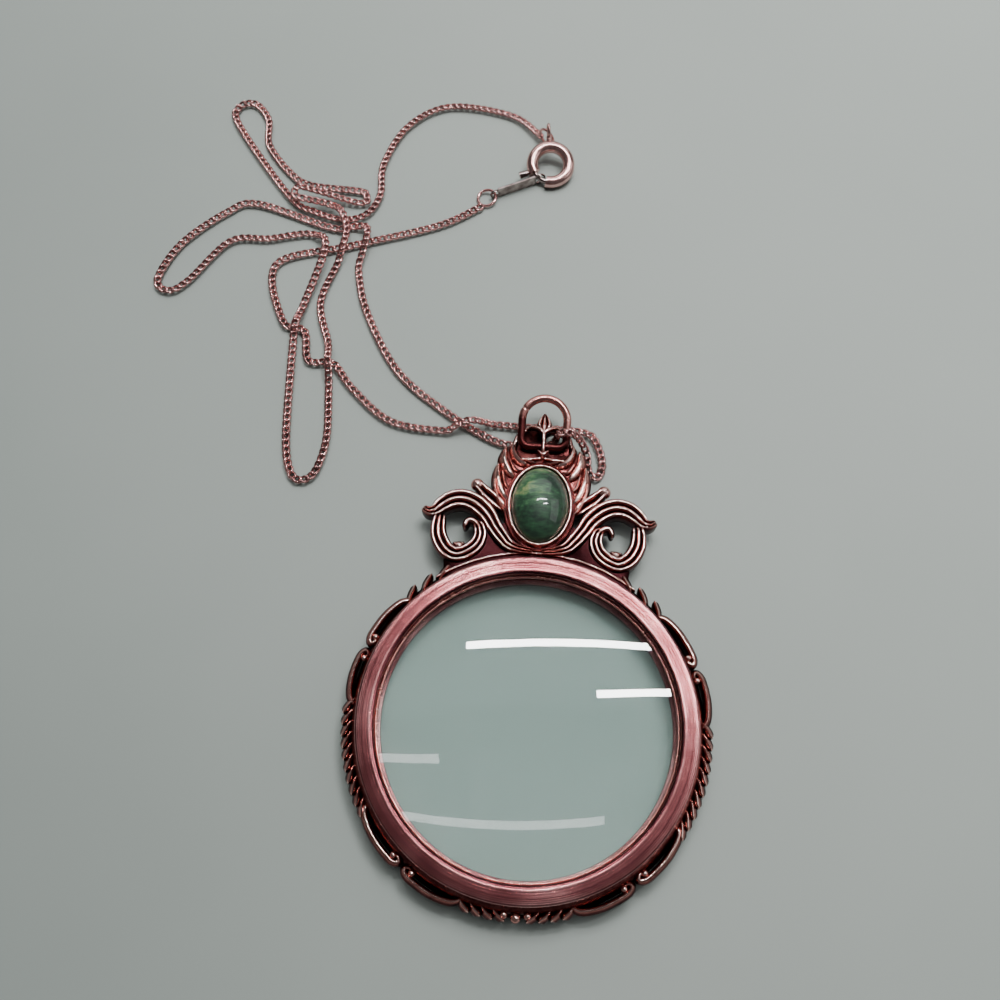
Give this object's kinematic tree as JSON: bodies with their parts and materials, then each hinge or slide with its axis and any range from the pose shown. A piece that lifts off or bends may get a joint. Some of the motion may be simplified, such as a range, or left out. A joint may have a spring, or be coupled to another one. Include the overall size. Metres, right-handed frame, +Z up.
{
  "type": "magnifier pendant necklace",
  "caption": "Antique-copper magnifier pendant with a scrolled crown, a green oval stone and a curb chain, lying on its back.",
  "frame": {"origin": "centre of the lens, on the surface that the pendant lies on", "axes": "+Y from the lens centre to the crown, +Z up out of the lens's front face, +X to the right seen from the front"},
  "size_m": [0.0914, 0.1344, 0.0071],
  "materials": {
    "cast_copper": "antique copper plate, polished high spots",
    "rose_wire": "rose plate, polished",
    "lens_glass": "clear, polished",
    "stone_green": "mottled green, polished",
    "bright_steel": "polished"
  },
  "bodies": {
    "necklace": {"bezel": "cast_copper", "lens": "lens_glass", "lens_retainer": "rose_wire", "casting": "cast_copper", "cabochon": "stone_green", "bail": "rose_wire", "chain": "rose_wire", "end_ring": "rose_wire", "clasp_body": "rose_wire", "tag": "bright_steel", "tag_ring": "rose_wire"},
    "latch": {"clasp_latch": "bright_steel"}
  },
  "joints": [
    {"name": "latch_slide", "type": "hinge", "parent": "necklace", "child": "latch", "pos_m": [-0.0016, 0.0957, 0.00189], "axis": [-0.0346, 0.282, -0.9588], "range_deg": [0, 46], "stiffness_Nm_per_rad": 0.0002}
  ]
}
